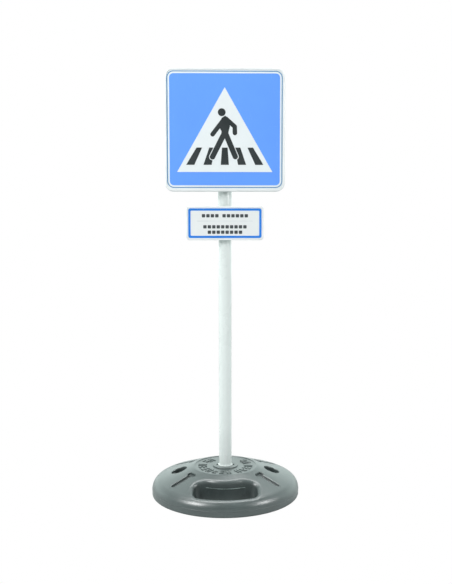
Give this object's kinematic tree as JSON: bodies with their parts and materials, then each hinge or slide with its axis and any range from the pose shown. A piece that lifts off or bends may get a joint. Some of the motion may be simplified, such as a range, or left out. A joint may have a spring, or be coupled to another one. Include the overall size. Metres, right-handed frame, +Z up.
{
  "type": "free-standing signpost",
  "caption": "Square pedestrian-crossing sign and small additional plate on a slim pole, standing in a round water-filled base with a carrying handle.",
  "frame": {"origin": "middle of the base's underside, on the ground", "axes": "+Z up along the pole, the sign faces -Y, +X to the right as seen from the front"},
  "size_m": [0.386, 0.386, 1.0995],
  "materials": {
    "base_plastic": "satin dark grey moulded plastic",
    "ballast": "water",
    "seal_rubber": "black rubber",
    "cap_plastic": "satin dark grey moulded plastic",
    "pole_lacquer": "light silver-white lacquer",
    "panel_plastic": "white moulded plastic",
    "white_sheet": "white printed sheet",
    "blue_film": "blue printed film",
    "white_film": "white printed film",
    "dark_film": "dark grey printed film",
    "screw_steel": "zinc-plated steel",
    "plate_sheet": "light grey printed sheet",
    "plate_blue_film": "deep blue printed film",
    "divider_film": "light grey printed line"
  },
  "bodies": {
    "base": {"base_shell": "base_plastic", "water_ballast": "ballast", "socket_collar": "base_plastic"},
    "cap_seal": {"cap_gasket": "seal_rubber"},
    "cap": {"fill_cap": "cap_plastic"},
    "foot": {"pole_foot": "base_plastic"},
    "pole": {"pole_tube": "pole_lacquer", "pole_plug": "cap_plastic"},
    "sign_head": {"sign_stem": "pole_lacquer", "stem_stop": "cap_plastic", "stem_cap": "cap_plastic", "sign_panel": "panel_plastic", "sign_back_cover": "panel_plastic", "sign_cover_screws": "screw_steel", "sign_sheet": "white_sheet", "outline_film": "blue_film", "blue_field_film": "blue_film", "triangle_film": "white_film", "figure_film": "dark_film", "stripes_film": "dark_film", "lower_sign_band": "panel_plastic", "upper_sign_band": "panel_plastic", "sign_band_screws": "screw_steel"},
    "plate": {"plate_panel": "panel_plastic", "plate_sheet": "plate_sheet", "plate_border_film": "plate_blue_film", "plate_divider_film": "divider_film", "plate_dashes_film": "dark_film", "plate_band": "panel_plastic", "plate_band_screws": "screw_steel"}
  },
  "joints": [
    {"name": "pole_pull", "type": "slide", "parent": "base", "child": "foot", "axis": [0, 0, 1], "range_m": [0, 0.055]},
    {"name": "pole_turn", "type": "hinge", "parent": "foot", "child": "pole", "pos_m": [0, 0, 0.05], "axis": [0, 0, 1], "continuous": true},
    {"name": "sign_lift", "type": "slide", "parent": "pole", "child": "sign_head", "axis": [0, 0, 1], "range_m": [0, 0.085]},
    {"name": "plate_slide", "type": "slide", "parent": "sign_head", "child": "plate", "axis": [0, 0, 1], "range_m": [-0.008, 0.03]},
    {"name": "cap_rise", "type": "slide", "parent": "base", "child": "cap_seal", "axis": [0, 0, 1], "range_m": [0, 0.008]},
    {"name": "cap_turn", "type": "hinge", "parent": "cap_seal", "child": "cap", "pos_m": [-0.122, 0, 0.045], "axis": [0, 0, 1], "range_deg": [0, 720]}
  ],
  "couplings": [
    {"joint": "cap_rise", "follows": "cap_turn", "m_per_rad": 0.00063662}
  ]
}
